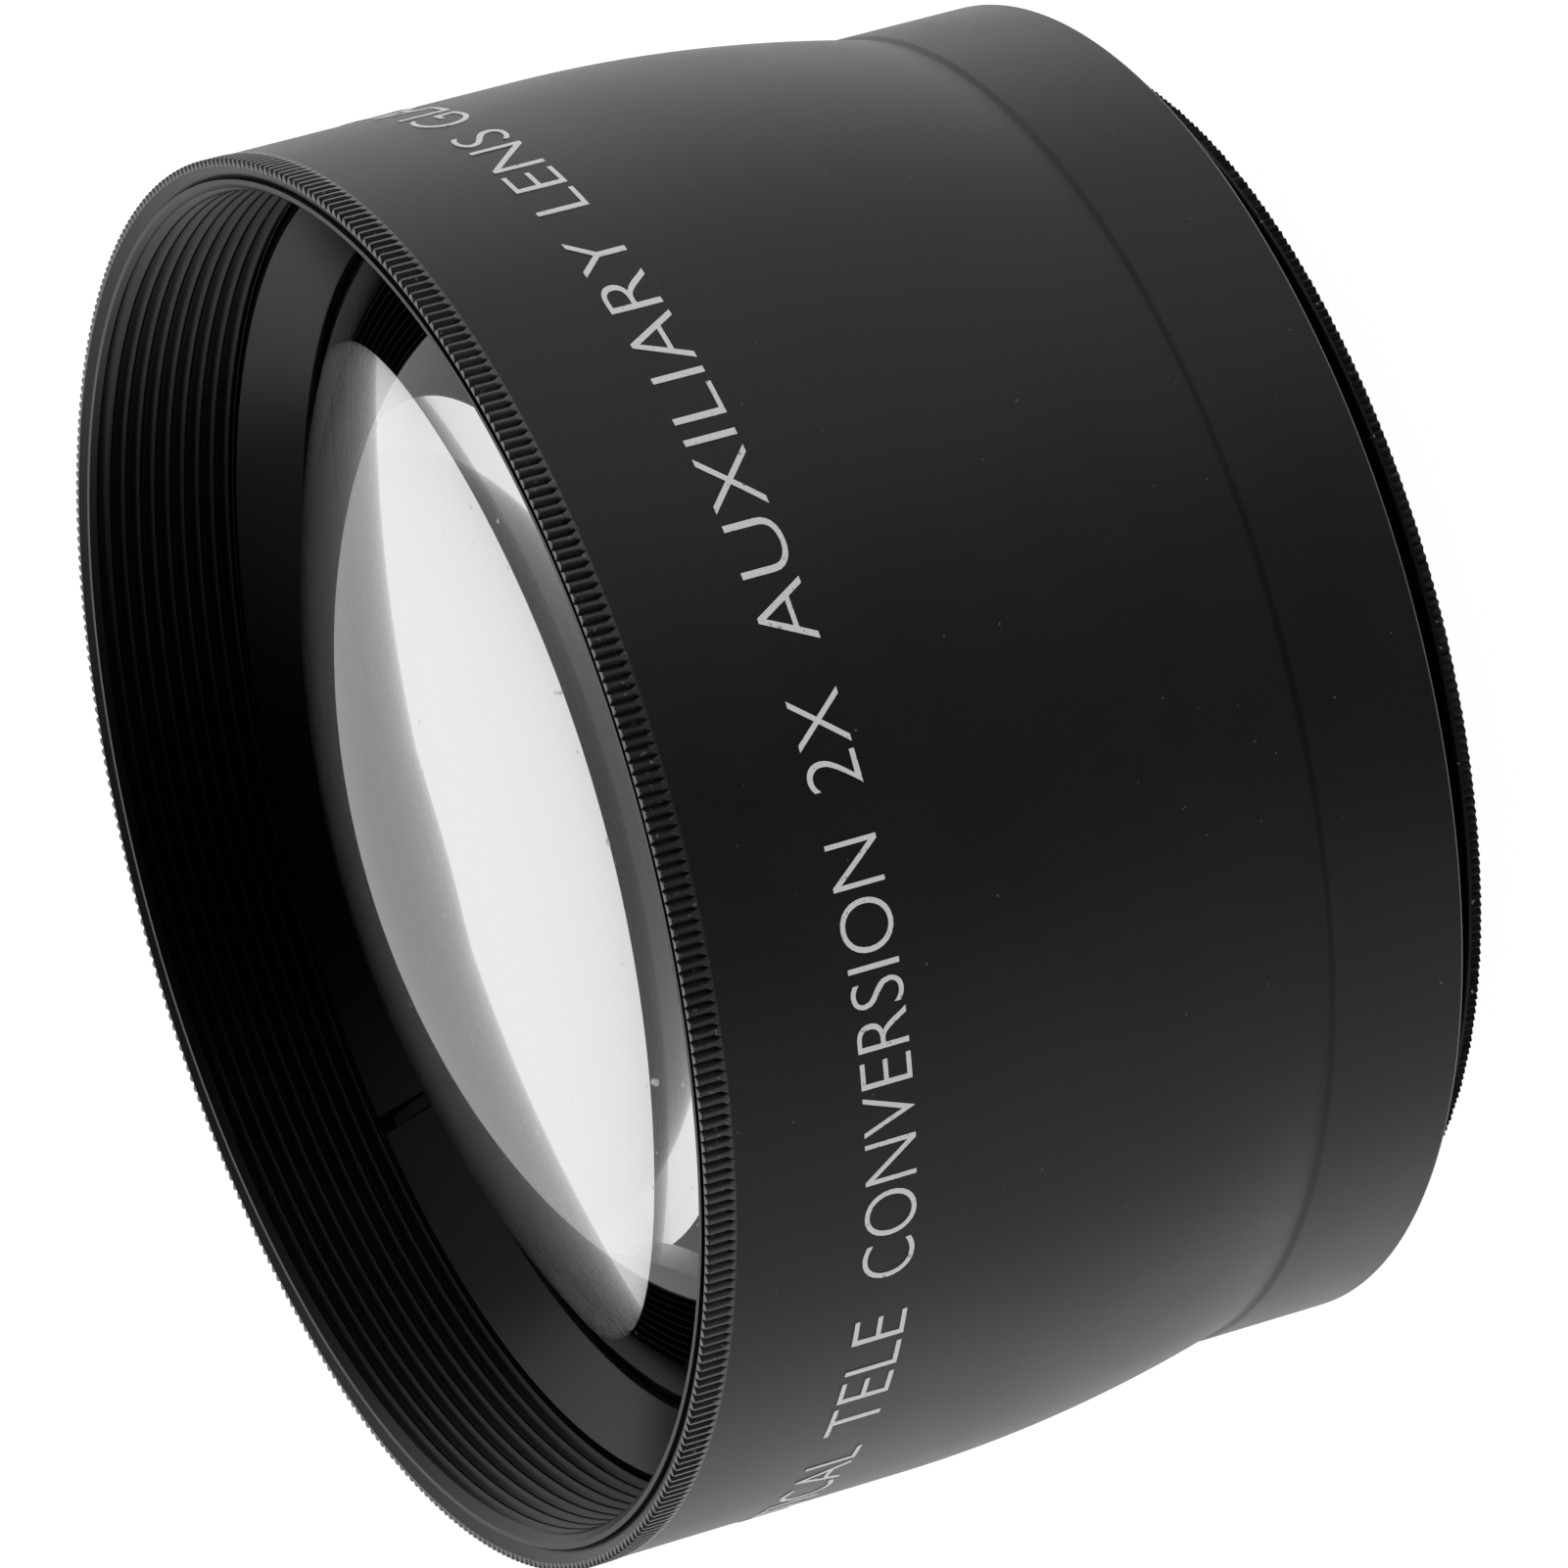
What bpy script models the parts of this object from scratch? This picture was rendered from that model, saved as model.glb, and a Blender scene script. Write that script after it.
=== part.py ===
"""A screw-on 2x telephoto conversion lens: a black barrel, four glass elements, their rings and a rear adapter.

Units are metres. The optical axis is Z and the front element looks up. The lens stands on its rear thread.
A depth is measured back from the plane of the front rim, so a point at depth d lies at z = LENGTH - d.
"""

import math

import bpy
import bmesh
import numpy as np
from mathutils import Matrix, Vector

MM = 0.001
LENGTH = 42.2 * MM
GAP = 0.3 * MM

BARREL_R = 32.23 * MM
KNURL_DEPTH = 1.25 * MM
RIM_R = 31.70 * MM
FILTER_THREAD_R = 30.80 * MM
TAPER_START = 15.5 * MM
TAPER_END = 31.1 * MM
TAPER_CURVE = 7.7  # fall of the radius, per metre, of the squared distance past TAPER_START
COLLAR_R = 30.49 * MM
COLLAR_END = 37.84 * MM
SINGLET_SEAT_END = 15.2 * MM
DOUBLET_SEAT_R = 28.60 * MM
DOUBLET_SEAT_END = 25.7 * MM
STOP_SEAT_R = 26.20 * MM
STOP_SEAT_END = 27.4 * MM
RIB_R = 24.00 * MM
REAR_BORE_R = 26.00 * MM
REAR_BORE_START = 28.6 * MM

RING_FRONT = 7.2 * MM
RING_R = 30.50 * MM
RING_MOUTH_R = 30.20 * MM
RING_THROAT_R = 28.00 * MM  # the ring's face is a cone from its mouth down to this radius, beside the glass
RING_LAND = 0.4 * MM
NOTCH_WIDTH = 0.8 * MM
NOTCH_DEPTH = 1.1 * MM
NOTCH_REACH = 3.0 * MM
NOTCH_ANGLE = math.radians(112.4)

SINGLET_R = 30.40 * MM
SINGLET_APEX = 1.48 * MM
SINGLET_FRONT_RADIUS = 50.4 * MM
SINGLET_THICKNESS = 13.4 * MM  # from the pole to the flat back

SPACER_BORE_R = 27.40 * MM
DOUBLET_R = 28.20 * MM
CROWN_EDGE_FRONT = 21.2 * MM
CROWN_EDGE = 1.0 * MM
CROWN_FRONT_RADIUS = 150.0 * MM
CEMENT_RADIUS = 400.0 * MM
FLINT_EDGE_BACK = 25.4 * MM
FLINT_REAR_RADIUS = 400.0 * MM

STOP_R = 21.50 * MM
FUNNEL_R = 23.00 * MM  # where the stop and the rear cell open towards the front
CELL_R = 25.70 * MM
CELL_FRONT = 28.9 * MM
CELL_BACK = 35.2 * MM
REAR_LENS_R = 17.00 * MM
REAR_LENS_FRONT = 30.0 * MM
REAR_LENS_EDGE = 4.3 * MM
REAR_LENS_FRONT_RADIUS = 85.0 * MM
REAR_LENS_REAR_RADIUS = 70.0 * MM
REAR_APERTURE_R = 15.60 * MM
REAR_LIP = 0.4 * MM
REAR_NOTCH_DEPTH = 0.3 * MM

MOUNT_THREAD_R = 24.10 * MM
ADAPTER_HUB_R = 24.00 * MM
ADAPTER_HUB_FRONT = 36.0 * MM
FLANGE_R = 27.70 * MM
FLANGE_FRONT = 39.60 * MM
FLANGE_BACK = 40.32 * MM
FLANGE_BEVEL = 0.15 * MM
REAR_THREAD_R = 23.00 * MM
ADAPTER_BORE_R = 21.20 * MM

FINE_STEPS = 96
STEPS = 64
GLASS_STEPS = 48
ARC_POINTS = 6
TAPER_POINTS = 7
EDGE = 0.2 * MM  # the small bevel on turned edges


def clearScene():
    for item in list(bpy.data.objects):
        bpy.data.objects.remove(item, do_unlink=True)


def newCollection(name):
    made = bpy.data.collections.new(name)
    bpy.context.scene.collection.children.link(made)
    return made


def plainMaterial(name, colour, roughness, metallic=0.0, transmission=0.0):
    made = bpy.data.materials.new(name)
    made.use_nodes = True
    shader = made.node_tree.nodes["Principled BSDF"]
    shader.inputs["Base Color"].default_value = (*colour, 1.0)
    shader.inputs["Roughness"].default_value = roughness
    shader.inputs["Metallic"].default_value = metallic
    shader.inputs["Transmission Weight"].default_value = transmission
    return made


def sag(radius, curve):
    """Depth of a sphere of this curve behind its pole, at this distance from the axis."""
    return curve - math.sqrt(curve * curve - radius * radius)


def arc(outer, curve, pole, bulge=1.0, points=ARC_POINTS):
    """Profile points of a spherical face, from the axis outward. The face bulges forward, or with -1 back."""
    radii = np.linspace(0.0, outer, points)
    return [(r, pole + bulge * sag(r, curve)) for r in radii]


def turned(name, profile, steps, material, home, closed=True):
    """Turns (radius, depth) points about Z. The points run down the outer side, and a ring's loop then closes."""
    mesh = bpy.data.meshes.new(name)
    corners = [(radius, 0.0, LENGTH - depth) for radius, depth in profile]
    edges = [(i, i + 1) for i in range(len(corners) - 1)]
    if closed:
        edges.append((len(corners) - 1, 0))
    mesh.from_pydata(corners, edges, [])
    mesh.materials.append(material)
    piece = bpy.data.objects.new(name, mesh)
    home.objects.link(piece)
    screw = piece.modifiers.new("turn", "SCREW")
    screw.axis = "Z"
    screw.angle = 2.0 * math.pi
    screw.steps = steps
    screw.render_steps = steps
    screw.use_merge_vertices = True
    screw.merge_threshold = 0.00001
    screw.use_smooth_shade = True
    return piece


def shadeByAngle(piece):
    """Turns the modifiers into the piece's own mesh, and keeps its edges over 30 degrees sharp."""
    graph = bpy.context.evaluated_depsgraph_get()
    finished = bpy.data.meshes.new_from_object(piece.evaluated_get(graph))
    piece.modifiers.clear()
    piece.data = finished
    finished.set_sharp_from_angle(angle=math.radians(30.0))


def notchCutter(name, angle, radius, face, depth, home):
    """A small block across one face of a ring, for a spanner. It reaches this depth to each side of the face."""
    box = bmesh.new()
    size = Matrix.Diagonal(Vector((NOTCH_REACH, NOTCH_WIDTH, 2.0 * depth, 1.0)))
    turn = Matrix.Rotation(angle, 4, "Z")
    move = Matrix.Translation(Vector((radius, 0.0, LENGTH - face)))
    bmesh.ops.create_cube(box, size=1.0, matrix=turn @ move @ size)
    mesh = bpy.data.meshes.new(name)
    box.to_mesh(mesh)
    box.free()
    cutter = bpy.data.objects.new(name, mesh)
    cutter.hide_render = True
    cutter.display_type = "WIRE"
    home.objects.link(cutter)
    return cutter


def cutNotches(ring, angle, radius, face, depth, helpers):
    """Two spanner notches, opposite each other."""
    for index in range(2):
        name = f"{ring.name}_cutter_{index}"
        cutter = notchCutter(name, angle + index * math.pi, radius, face, depth, helpers)
        cut = ring.modifiers.new("notch", "BOOLEAN")
        cut.operation = "DIFFERENCE"
        cut.solver = "EXACT"
        cut.object = cutter


def taper():
    """The barrel's waist: the radius falls with the square of the distance past TAPER_START."""
    depths = np.linspace(TAPER_START, TAPER_END, TAPER_POINTS)
    return [(BARREL_R - TAPER_CURVE * (d - TAPER_START) ** 2, d) for d in depths]


def buildBarrel(home):
    outside = [(RIM_R, 0.0), (BARREL_R, EDGE), (BARREL_R, KNURL_DEPTH)]
    outside += taper()
    outside += [
        (COLLAR_R, TAPER_END + EDGE),
        (COLLAR_R, COLLAR_END - EDGE),
        (COLLAR_R - EDGE, COLLAR_END),
    ]
    inside = [
        (REAR_BORE_R, COLLAR_END),
        (REAR_BORE_R, REAR_BORE_START),
        (RIB_R, REAR_BORE_START),
        (RIB_R, STOP_SEAT_END),
        (STOP_SEAT_R, STOP_SEAT_END),
        (STOP_SEAT_R, DOUBLET_SEAT_END),
        (DOUBLET_SEAT_R, DOUBLET_SEAT_END),
        (DOUBLET_SEAT_R, SINGLET_SEAT_END),
        (FILTER_THREAD_R, SINGLET_SEAT_END),
        (FILTER_THREAD_R, 2.0 * EDGE),
        (RIM_R - 2.0 * EDGE, 0.0),
    ]
    black = plainMaterial("barrel_black", (0.03, 0.03, 0.032), 0.5)
    return turned("barrel", outside + inside, FINE_STEPS, black, home)


def domeDepth(radius):
    """Depth of the front element's face at this distance from the axis."""
    return SINGLET_APEX + sag(radius, SINGLET_FRONT_RADIUS)


def buildFrontRing(home, helpers):
    """The ring that holds the front element: its face is a cone, and its back follows the glass."""
    clearance = 1.5 * GAP  # along the axis, so that the gap square to the sloping glass is over GAP
    seat = [(r, domeDepth(r) - clearance) for r in np.linspace(RING_R - RING_LAND, RING_THROAT_R, 4)]
    profile = [
        (RING_R, RING_FRONT),
        (RING_R, seat[0][1]),
        *seat,
        (RING_THROAT_R, seat[-1][1] - RING_LAND),
        (RING_MOUTH_R, RING_FRONT),
    ]
    black = plainMaterial("ring_black", (0.02, 0.02, 0.022), 0.45)
    ring = turned("front_retaining_ring", profile, STEPS, black, home)
    cutNotches(ring, NOTCH_ANGLE, RING_MOUTH_R, RING_FRONT, NOTCH_DEPTH, helpers)
    return ring


def buildSinglet(home, glass):
    """The thick front element: a domed face, a ground edge and a flat back."""
    back = SINGLET_APEX + SINGLET_THICKNESS
    front = arc(SINGLET_R, SINGLET_FRONT_RADIUS, SINGLET_APEX)
    profile = front + [(SINGLET_R, back), (0.0, back)]
    return turned("front_element", profile, GLASS_STEPS, glass, home, closed=False)


def buildSpacer(home):
    """The ring between the barrel's first shoulder and the doublet. Its back follows the doublet's face."""
    crownPole = CROWN_EDGE_FRONT - sag(DOUBLET_R, CROWN_FRONT_RADIUS)
    lip = crownPole + sag(SPACER_BORE_R, CROWN_FRONT_RADIUS) - GAP
    outer = DOUBLET_SEAT_R - GAP
    profile = [(outer, SINGLET_SEAT_END), (outer, lip), (SPACER_BORE_R, lip), (SPACER_BORE_R, SINGLET_SEAT_END)]
    black = plainMaterial("spacer_black", (0.02, 0.02, 0.02), 0.6)
    return turned("front_spacer", profile, STEPS, black, home)


def buildDoublet(home, glass):
    crownPole = CROWN_EDGE_FRONT - sag(DOUBLET_R, CROWN_FRONT_RADIUS)
    crownBack = CROWN_EDGE_FRONT + CROWN_EDGE
    cementPole = crownBack + sag(DOUBLET_R, CEMENT_RADIUS)
    front = arc(DOUBLET_R, CROWN_FRONT_RADIUS, crownPole)
    back = arc(DOUBLET_R, CEMENT_RADIUS, cementPole, bulge=-1.0)
    crown = turned("doublet_crown", front + back[::-1], GLASS_STEPS, glass, home, closed=False)
    flintFront = arc(DOUBLET_R, CEMENT_RADIUS, cementPole + GAP, bulge=-1.0)
    flintPole = FLINT_EDGE_BACK - sag(DOUBLET_R, FLINT_REAR_RADIUS)
    flintBack = arc(DOUBLET_R, FLINT_REAR_RADIUS, flintPole)
    flint = turned("doublet_flint", flintFront + flintBack[::-1], GLASS_STEPS, glass, home, closed=False)
    return crown, flint


def buildStop(home):
    """The glare stop behind the doublet."""
    profile = [
        (STOP_SEAT_R - GAP, DOUBLET_SEAT_END + GAP),
        (STOP_SEAT_R - GAP, STOP_SEAT_END - GAP),
        (STOP_R, STOP_SEAT_END - GAP),
        (STOP_R, STOP_SEAT_END - 2.0 * GAP),
        (FUNNEL_R, DOUBLET_SEAT_END + GAP),
    ]
    black = plainMaterial("stop_black", (0.015, 0.015, 0.015), 0.8)
    return turned("glare_stop", profile, GLASS_STEPS, black, home)


def buildRearCell(home):
    """The turned cell that carries the rear element in a bore open to the back."""
    lip = REAR_LENS_FRONT - GAP
    bore = REAR_LENS_R + GAP
    profile = [
        (CELL_R, CELL_FRONT),
        (CELL_R, CELL_BACK),
        (bore, CELL_BACK),
        (bore, lip),
        (REAR_APERTURE_R, lip),
        (REAR_APERTURE_R, lip - REAR_LIP),
        (FUNNEL_R, CELL_FRONT),
    ]
    black = plainMaterial("cell_black", (0.02, 0.02, 0.02), 0.55)
    return turned("rear_cell", profile, STEPS, black, home)


def buildRearElement(home, glass):
    frontPole = REAR_LENS_FRONT + sag(REAR_LENS_R, REAR_LENS_FRONT_RADIUS)
    edgeBack = REAR_LENS_FRONT + REAR_LENS_EDGE
    backPole = edgeBack - sag(REAR_LENS_R, REAR_LENS_REAR_RADIUS)
    front = arc(REAR_LENS_R, REAR_LENS_FRONT_RADIUS, frontPole, bulge=-1.0)
    back = arc(REAR_LENS_R, REAR_LENS_REAR_RADIUS, backPole)
    return turned("rear_element", front + back[::-1], GLASS_STEPS, glass, home, closed=False)


def buildRearRing(home, helpers):
    front = REAR_LENS_FRONT + REAR_LENS_EDGE + GAP
    profile = [
        (REAR_LENS_R, front),
        (REAR_LENS_R, CELL_BACK),
        (REAR_APERTURE_R + EDGE, CELL_BACK),
        (REAR_APERTURE_R, front),
    ]
    black = plainMaterial("rear_ring_black", (0.02, 0.02, 0.022), 0.45)
    ring = turned("rear_retaining_ring", profile, GLASS_STEPS, black, home)
    cutNotches(ring, 0.0, REAR_LENS_R, CELL_BACK, REAR_NOTCH_DEPTH, helpers)
    return ring


def buildRearMount(home):
    """The ring in the back of the barrel whose inside thread takes the adapter."""
    outer = REAR_BORE_R - GAP
    back = COLLAR_END - EDGE
    profile = [
        (outer, CELL_BACK + GAP),
        (outer, back),
        (MOUNT_THREAD_R + EDGE, back),
        (MOUNT_THREAD_R, back - EDGE),
        (MOUNT_THREAD_R, CELL_BACK + GAP),
    ]
    black = plainMaterial("mount_black", (0.025, 0.025, 0.025), 0.4)
    return turned("rear_mount", profile, FINE_STEPS, black, home)


def buildAdapter(home):
    """The knurled adapter: a hub in the rear mount, a thin flange, and the thread that goes on the camera lens."""
    profile = [
        (ADAPTER_HUB_R - EDGE, ADAPTER_HUB_FRONT),
        (ADAPTER_HUB_R, ADAPTER_HUB_FRONT + EDGE),
        (ADAPTER_HUB_R, FLANGE_FRONT),
        (FLANGE_R - FLANGE_BEVEL, FLANGE_FRONT),
        (FLANGE_R, FLANGE_FRONT + FLANGE_BEVEL),
        (FLANGE_R, FLANGE_BACK - FLANGE_BEVEL),
        (FLANGE_R - FLANGE_BEVEL, FLANGE_BACK),
        (REAR_THREAD_R, FLANGE_BACK),
        (REAR_THREAD_R, LENGTH - EDGE),
        (REAR_THREAD_R - EDGE, LENGTH),
        (ADAPTER_BORE_R + EDGE, LENGTH),
        (ADAPTER_BORE_R, LENGTH - EDGE),
        (ADAPTER_BORE_R, ADAPTER_HUB_FRONT),
    ]
    black = plainMaterial("adapter_black", (0.02, 0.02, 0.02), 0.35)
    return turned("adapter_ring", profile, FINE_STEPS, black, home)


def main():
    clearScene()
    home = newCollection("telephoto_conversion_lens")
    helpers = newCollection("helpers")
    helpers.hide_render = True
    coatedGlass = plainMaterial("coated_glass", (0.9, 0.95, 0.93), 0.02, transmission=1.0)
    plainGlass = plainMaterial("plain_glass", (0.95, 0.96, 0.95), 0.02, transmission=1.0)
    pieces = [
        buildBarrel(home),
        buildFrontRing(home, helpers),
        buildSinglet(home, coatedGlass),
        buildSpacer(home),
        *buildDoublet(home, plainGlass),
        buildStop(home),
        buildRearCell(home),
        buildRearElement(home, plainGlass),
        buildRearRing(home, helpers),
        buildRearMount(home),
        buildAdapter(home),
    ]
    for piece in pieces:
        shadeByAngle(piece)


main()
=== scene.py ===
# Looks for the screw-on 2x tele conversion lens.
# A depth is measured back from the plane of the front rim, in millimetres. A turn is an angle about the axis.
import math

import bmesh
import bpy
import numpy as np
from mathutils import Matrix, Vector


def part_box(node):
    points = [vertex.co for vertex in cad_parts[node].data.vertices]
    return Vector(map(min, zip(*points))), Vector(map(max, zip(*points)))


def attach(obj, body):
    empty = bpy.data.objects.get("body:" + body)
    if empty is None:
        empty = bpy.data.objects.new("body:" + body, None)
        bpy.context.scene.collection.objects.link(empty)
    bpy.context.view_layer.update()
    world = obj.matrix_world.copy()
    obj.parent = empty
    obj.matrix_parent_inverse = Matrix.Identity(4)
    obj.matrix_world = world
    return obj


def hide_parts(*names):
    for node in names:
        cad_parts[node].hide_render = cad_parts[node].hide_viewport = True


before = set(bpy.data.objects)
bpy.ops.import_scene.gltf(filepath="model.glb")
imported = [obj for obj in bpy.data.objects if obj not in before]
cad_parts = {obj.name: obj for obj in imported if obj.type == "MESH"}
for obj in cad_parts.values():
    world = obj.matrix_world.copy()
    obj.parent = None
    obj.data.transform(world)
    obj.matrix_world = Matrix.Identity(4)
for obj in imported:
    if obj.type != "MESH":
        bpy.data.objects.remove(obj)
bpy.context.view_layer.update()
mm = 0.001
fullTurn = 2.0 * math.pi
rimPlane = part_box("barrel")[1][2]  # height of the front rim
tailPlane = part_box("adapter_ring")[0][2]  # height of the rear end


class Value:
    # A shader number. Arithmetic on it adds Math nodes, so masks read as plain expressions.
    def __init__(self, shader, socket):
        self.shader, self.socket = shader, socket

    def math(self, operation, *others):
        sockets = {index: item for index, item in enumerate((self, *others))}
        return self.shader.node("ShaderNodeMath", {"operation": operation}, sockets)

    def __add__(self, other): return self.math("ADD", other)
    def __radd__(self, other): return self.math("ADD", other)
    def __mul__(self, other): return self.math("MULTIPLY", other)
    def __rmul__(self, other): return self.math("MULTIPLY", other)
    def __sub__(self, other): return self.math("SUBTRACT", other)

    def __rsub__(self, other):
        return self.shader.node("ShaderNodeMath", {"operation": "SUBTRACT"}, {0: other, 1: self})


class Shader:
    # Writes one node tree. Every node comes from node(), which sets its settings first and then its sockets.
    def __init__(self, tree):
        self.tree = tree
        tree.nodes.clear()

    def node(self, kind, settings=None, sockets=None, out=0):
        made = self.tree.nodes.new(kind)
        for key, item in (settings or {}).items():
            if key == "stops":
                ramp = made.color_ramp
                while len(ramp.elements) < len(item):
                    ramp.elements.new(0.5)
                for stop, (place, shade) in zip(ramp.elements, item):
                    stop.position, stop.color = place, (shade, shade, shade, 1.0)
            else:
                setattr(made, key, item)
        for key, item in (sockets or {}).items():
            if isinstance(item, Value):
                self.tree.links.new(item.socket, made.inputs[key])
            else:
                made.inputs[key].default_value = item
        return Value(self, made.outputs[out]) if len(made.outputs) else None

    def place(self):
        return self.node("ShaderNodeTexCoord", out="Object")

    def stretch(self, vector, factors):
        return self.node("ShaderNodeVectorMath", {"operation": "MULTIPLY"}, {0: vector, 1: factors})

    def noise(self, vector, scale, detail, roughness):
        return self.node("ShaderNodeTexNoise", {}, {"Vector": vector, "Scale": scale, "Detail": detail,
                                                    "Roughness": roughness})

    def ramp(self, factor, low, high):
        limits = {0: factor, 1: low, 2: high, 3: 0.0, 4: 1.0}
        return self.node("ShaderNodeMapRange", {"interpolation_type": "SMOOTHSTEP"}, limits)

    def blend(self, factor, first, second):
        sockets = {"Factor": factor, 6: first, 7: second}
        return self.node("ShaderNodeMix", {"data_type": "RGBA"}, sockets, out=2)

    def bump(self, height, strength, distance):
        return self.node("ShaderNodeBump", {}, {"Strength": strength, "Distance": distance, "Height": height})

    def surface(self, sockets):
        shader = self.node("ShaderNodeBsdfPrincipled", {}, sockets)
        self.node("ShaderNodeOutputMaterial", {}, {"Surface": shader})


def newMaterial(name):
    made = bpy.data.materials.new(name)
    made.use_nodes = True
    return made, Shader(made.node_tree)


def grey(level, warm=0.0):
    return (level * (1.0 + warm), level, level * (1.0 - warm), 1.0)


dustGrey = grey(0.30, 0.03)


def dustyBlack(shader, place, look):
    # Black with faint cloudiness and sparse pale dust: its colour, the cloud and the dust mask.
    cloud = shader.noise(place, look["cloudScale"], 3.0, 0.6)
    speckField = shader.noise(place, look["dustScale"], 1.0, 0.4)
    dust = shader.ramp(speckField, look["dustFrom"], look["dustFrom"] + look["dustEdge"])
    tint = shader.blend(cloud, grey(look["dark"]), grey(look["light"], look["warm"]))
    return shader.blend(dust * look["dustAmount"], tint, dustGrey), cloud, dust


def blackAnodised(name, look):
    # Blasted and dyed aluminium: a fine grain in height and gloss under the dust.
    made, shader = newMaterial(name)
    place = shader.place()
    grain = shader.noise(place, look["grainScale"], 4.0, 0.7)
    tint, cloud, dust = dustyBlack(shader, place, look)
    shader.surface({
        "Base Color": tint,
        "Roughness": look["rough"] + (cloud - 0.5) * look["roughSpread"] + dust * look["dustRough"],
        "Specular IOR Level": look["specular"],
        "Normal": shader.bump(grain, look["grainStrength"], look["grainHeight"]),
    })
    return made


def lathedBlack(name, look):
    # Turned and blackened metal: tool lines run round the piece, so their height follows the axis.
    made, shader = newMaterial(name)
    place = shader.place()
    across = look["acrossScale"]
    lines = shader.noise(shader.stretch(place, (across, across, look["lineScale"])), 1.0, 4.0, 0.7)
    shader.surface({
        "Base Color": dustyBlack(shader, place, look)[0],
        "Roughness": look["rough"] + (lines - 0.5) * look["roughSpread"],
        "Specular IOR Level": look["specular"],
        "Normal": shader.bump(lines, look["lineStrength"], look["lineHeight"]),
    })
    return made


def printedGrey(name, look):
    # Screen-printed ink: light grey, a little uneven, thinner in tiny spots where the black shows through.
    made, shader = newMaterial(name)
    place = shader.place()
    mottle = shader.noise(place, look["mottleScale"], 4.0, 0.7)
    wear = shader.noise(place, look["wearScale"], 2.0, 0.5)
    worn = shader.ramp(wear, look["wearFrom"], look["wearFrom"] + look["wearEdge"])
    tint = shader.blend(mottle, grey(look["light"]), grey(look["shade"]))
    tint = shader.blend(worn * look["wearAmount"], tint, grey(look["wornLevel"]))
    shader.surface({
        "Base Color": tint,
        "Roughness": look["rough"] + (mottle - 0.5) * look["roughSpread"],
        "Specular IOR Level": look["specular"],
        "Normal": shader.bump(mottle, look["mottleStrength"], look["mottleHeight"]),
    })
    return made


def lensGlass(name, look):
    # Polished glass. A very faint haze of dust varies the gloss.
    made, shader = newMaterial(name)
    place = shader.place()
    speckField = shader.noise(place, look["dustScale"], 1.0, 0.4)
    dust = shader.ramp(speckField, look["dustFrom"], look["dustFrom"] + look["dustEdge"])
    shader.surface({
        "Base Color": look["tint"],
        "Roughness": dust * look["dustRough"],
        "IOR": look["index"],
        "Transmission Weight": 1.0,
    })
    return made


anodisedLook = {
    "grainScale": 9000.0, "grainStrength": 0.6, "grainHeight": 0.00002,
    "cloudScale": 160.0, "dark": 0.0075, "light": 0.0125, "warm": 0.03,
    "dustScale": 3000.0, "dustFrom": 0.80, "dustEdge": 0.03, "dustAmount": 0.25, "dustRough": 0.25,
    "rough": 0.36, "roughSpread": 0.10, "specular": 0.5,
}
knurlLook = {**anodisedLook, "dark": 0.012, "light": 0.03, "rough": 0.26, "specular": 1.2, "dustFrom": 0.7}
lathedLook = {
    "acrossScale": 12.0, "lineScale": 9000.0, "lineStrength": 0.15, "lineHeight": 0.00001,
    "cloudScale": 220.0, "dark": 0.002, "light": 0.0045, "warm": 0.03,
    "dustScale": 2400.0, "dustFrom": 0.80, "dustEdge": 0.03, "dustAmount": 0.2,
    "rough": 0.24, "roughSpread": 0.06, "specular": 0.5,
}
threadLook = {**lathedLook, "rough": 0.33, "specular": 0.4}
mattInsideLook = {
    **lathedLook, "rough": 0.62, "dark": 0.003, "light": 0.006, "specular": 0.35, "dustAmount": 0.12,
}
edgePaintLook = {**mattInsideLook, "rough": 0.8, "dark": 0.001, "light": 0.002, "specular": 0.1}
adapterLook = {
    **lathedLook, "rough": 0.5, "dustFrom": 0.74, "dustAmount": 0.6, "light": 0.006, "specular": 0.3,
}
printLook = {
    "mottleScale": 5200.0, "mottleStrength": 0.3, "mottleHeight": 0.00002, "light": 0.88, "shade": 0.72,
    "wearScale": 3600.0, "wearFrom": 0.66, "wearEdge": 0.05, "wearAmount": 0.6, "wornLevel": 0.06,
    "rough": 0.55, "roughSpread": 0.2, "specular": 0.4,
}
coatedLook = {
    "tint": (0.99, 1.0, 0.985, 1.0), "index": 1.58,
    "dustScale": 1500.0, "dustFrom": 0.75, "dustEdge": 0.02, "dustRough": 0.15,
}
plainLook = {**coatedLook, "tint": (0.97, 0.98, 0.97, 1.0), "index": 1.18}  # coated faces send little back

barrelBlack = blackAnodised("barrelBlack", anodisedLook)
knurlBlack = blackAnodised("knurlBlack", knurlLook)
ringBlack = lathedBlack("ringBlack", lathedLook)
threadBlack = lathedBlack("threadBlack", threadLook)
insideBlack = lathedBlack("insideBlack", mattInsideLook)
adapterBlack = lathedBlack("adapterBlack", adapterLook)
letterGrey = printedGrey("letterGrey", printLook)
edgePaint = lathedBlack("edgePaint", edgePaintLook)
coatedGlass = lensGlass("coatedGlass", coatedLook)
plainGlass = lensGlass("plainGlass", plainLook)
print("finishes written")


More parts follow.
